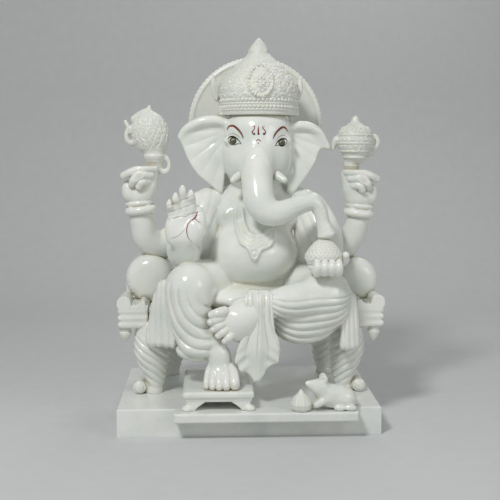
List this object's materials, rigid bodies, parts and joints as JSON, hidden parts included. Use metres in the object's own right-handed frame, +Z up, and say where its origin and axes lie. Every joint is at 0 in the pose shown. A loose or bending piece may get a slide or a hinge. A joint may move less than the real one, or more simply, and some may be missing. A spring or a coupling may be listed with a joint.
{
  "type": "ganesha idol",
  "caption": "Seated marble Ganesha on a low throne, one foot on a footstool, with a ring halo, crown, raised palm, sweets and a mouse, on a plain slab",
  "frame": {"origin": "Centre of the flat underside of the slab.", "axes": "+Z up. The figure faces -Y, and +X is to the right as seen from the front."},
  "size_m": [0.4265, 0.293, 0.607],
  "materials": {
    "polished_marble": "polished",
    "carved_marble": "satin",
    "plinth_marble": "honed",
    "dowel_steel": "brushed"
  },
  "bodies": {
    "root": {"arm_front_left": "polished_marble", "arm_front_right": "polished_marble", "arm_rear_left": "polished_marble", "arm_rear_right": "polished_marble", "bangle_left": "polished_marble", "bangle_right": "polished_marble", "bolster_left": "polished_marble", "bolster_right": "polished_marble", "central_pleat": "polished_marble", "cloth_swag": "polished_marble", "crown": "carved_marble", "crown_finial": "carved_marble", "crown_leaf_left": "polished_marble", "crown_leaf_right": "polished_marble", "dowels_long": "dowel_steel", "dowels_short": "dowel_steel", "drape_left": "polished_marble", "drape_right": "polished_marble", "ear_left": "polished_marble", "ear_right": "polished_marble", "emblem_left": "carved_marble", "emblem_right": "carved_marble", "foot_folded": "polished_marble", "foot_lowered": "polished_marble", "footstool": "polished_marble", "front_ledge": "plinth_marble", "halo_ring": "carved_marble", "hand_front_left": "polished_marble", "hand_front_right": "polished_marble", "hand_rear_left": "polished_marble", "hand_rear_right": "polished_marble", "head": "polished_marble", "leg_folded": "polished_marble", "leg_lowered": "polished_marble", "mouse": "polished_marble", "necklace": "carved_marble", "offered_sweet": "polished_marble", "pendant_left": "polished_marble", "pendant_right": "polished_marble", "plinth_slab": "plinth_marble", "rail_end_left": "polished_marble", "rail_end_right": "polished_marble", "sweets_heap": "carved_marble", "throne_back": "polished_marble", "throne_leg_front_left": "polished_marble", "throne_leg_front_right": "polished_marble", "throne_leg_rear_left": "polished_marble", "throne_leg_rear_right": "polished_marble", "throne_seat": "polished_marble", "torso": "polished_marble", "trunk": "polished_marble", "tusk_left": "polished_marble", "tusk_right": "polished_marble"}
  },
  "joints": []
}
